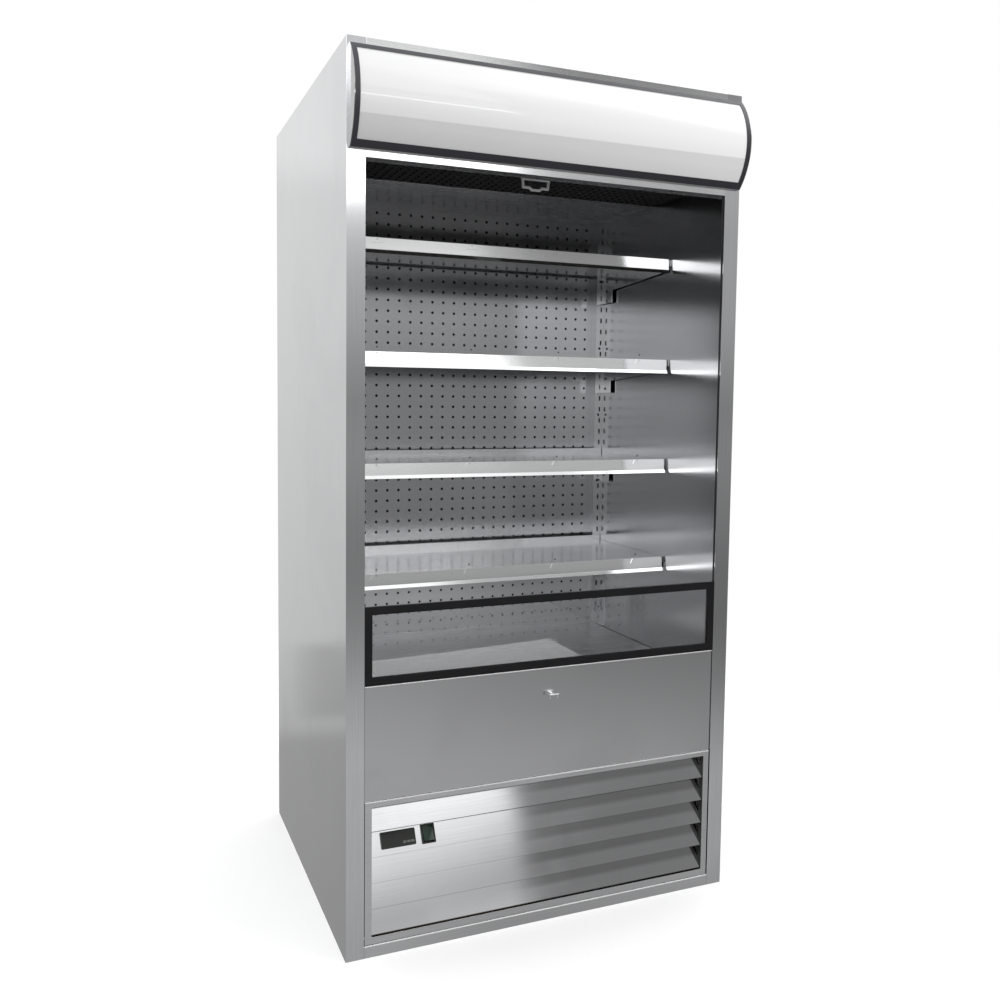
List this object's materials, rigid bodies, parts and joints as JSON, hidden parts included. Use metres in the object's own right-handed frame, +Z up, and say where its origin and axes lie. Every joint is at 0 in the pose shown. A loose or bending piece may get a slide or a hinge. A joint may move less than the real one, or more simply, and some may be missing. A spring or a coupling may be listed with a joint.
{
  "type": "open multideck display fridge",
  "caption": "Upright open-fronted display fridge: shelves over a deck, low front glass, lit canopy, pull-down night blind and hinged louvre grille.",
  "frame": {"origin": "on the floor, under the centre of the whole outline", "axes": "+Z up, +Y towards the back, +X to the customer's right"},
  "size_m": [1, 0.848, 2],
  "materials": {
    "steel": "fine brushed",
    "side_steel": "fine brushed, pale",
    "bright_steel": "bright brushed",
    "mirror_steel": "near-mirror liner sheet",
    "galvanised": "galvanised",
    "dark_paint": "satin black",
    "black_plastic": "satin black",
    "grey_plastic": "satin",
    "pale_plastic": "satin",
    "dark_honeycomb": "matt",
    "opal": "opal, glossy",
    "green_lens": "tinted, glossy",
    "foam": "closed foam",
    "glass": "clear",
    "cloth": "close woven",
    "copper": "bare copper",
    "aluminium": "plain",
    "chrome": "polished"
  },
  "bodies": {
    "cabinet": {"side_panel_left": "side_steel", "side_panel_right": "side_steel", "rear_cover": "galvanised", "roof_panel": "galvanised", "head_rail": "bright_steel", "bottom_rail": "steel", "base_pan": "galvanised", "insulation": "foam", "liner_left": "mirror_steel", "liner_right": "mirror_steel", "liner_back": "galvanised", "tub_floor": "steel", "breaker_strips": "black_plastic", "ceiling_panel": "steel", "back_panel": "steel", "upright_left": "steel", "upright_right": "steel", "shelf_1": "steel", "shelf_2": "steel", "shelf_3": "steel", "shelf_4": "steel", "shelf_rails": "bright_steel", "shelf_brackets": "steel", "deck_pan": "steel", "return_grille": "steel", "air_straightener": "dark_honeycomb", "glass_frame": "black_plastic", "front_glass": "glass", "fascia_panel": "steel", "blind_catch": "chrome", "canopy_housing": "steel", "canopy_diffuser": "opal", "canopy_trim": "black_plastic", "canopy_end_left": "chrome", "canopy_end_right": "chrome", "lamp_tube": "opal", "blind_cloth": "cloth", "compressor": "dark_paint", "condenser_coil": "aluminium", "condenser_fan_motor": "dark_paint", "evaporator_coil": "aluminium", "evaporator_fan_motor": "black_plastic", "electrical_box": "grey_plastic", "cord_gland": "black_plastic", "pipework": "copper"},
    "grille": {"grille_frame": "steel", "louvre_blades": "bright_steel", "controller": "black_plastic", "rocker_bezel": "black_plastic"},
    "key_one": {"key_1": "grey_plastic"},
    "key_two": {"key_2": "grey_plastic"},
    "key_three": {"key_3": "grey_plastic"},
    "switch_rocker": {"rocker": "green_lens"},
    "blind_grip": {"blind_bar": "black_plastic", "blind_handle": "pale_plastic"},
    "blind_drum": {"blind_roller": "aluminium", "blind_roll": "cloth"},
    "condenser_rotor": {"condenser_fan": "aluminium"},
    "evaporator_rotor": {"evaporator_fan": "black_plastic"}
  },
  "joints": [
    {"name": "grille_hinge", "type": "hinge", "parent": "cabinet", "child": "grille", "pos_m": [0, -0.368, 0.0425], "axis": [1, 0, 0], "range_deg": [0, 80]},
    {"name": "key_1_press", "type": "slide", "parent": "grille", "child": "key_one", "axis": [0, 0.8868, -0.4622], "range_m": [0, 0.0007], "stiffness_N_per_m": 300, "springref_m": -0.0005},
    {"name": "key_2_press", "type": "slide", "parent": "grille", "child": "key_two", "axis": [0, 0.8868, -0.4622], "range_m": [0, 0.0007], "stiffness_N_per_m": 300, "springref_m": -0.0005},
    {"name": "key_3_press", "type": "slide", "parent": "grille", "child": "key_three", "axis": [0, 0.8868, -0.4622], "range_m": [0, 0.0007], "stiffness_N_per_m": 300, "springref_m": -0.0005},
    {"name": "rocker_pivot", "type": "hinge", "parent": "grille", "child": "switch_rocker", "pos_m": [-0.302, -0.35573, 0.25354], "axis": [1, 0, 0], "range_deg": [0, 18]},
    {"name": "blind_slide", "type": "slide", "parent": "cabinet", "child": "blind_grip", "axis": [0, -0.1348, -0.9909], "range_m": [0, 1.225], "stiffness_N_per_m": 4, "springref_m": -3, "deforming": ["blind_cloth"]},
    {"name": "blind_roller_turn", "type": "hinge", "parent": "cabinet", "child": "blind_drum", "pos_m": [0, -0.231, 1.848], "axis": [1, 0, 0], "range_deg": [0, 3600]},
    {"name": "condenser_fan_spin", "type": "hinge", "parent": "cabinet", "child": "condenser_rotor", "pos_m": [0.23, -0.166, 0.1775], "axis": [0, 1, 0], "continuous": true},
    {"name": "evaporator_fan_spin", "type": "hinge", "parent": "cabinet", "child": "evaporator_rotor", "pos_m": [0, -0.036, 0.4905], "axis": [1, 0, 0], "continuous": true}
  ],
  "couplings": [
    {"joint": "blind_roller_turn", "follows": "blind_slide", "rad_per_m": 50}
  ]
}
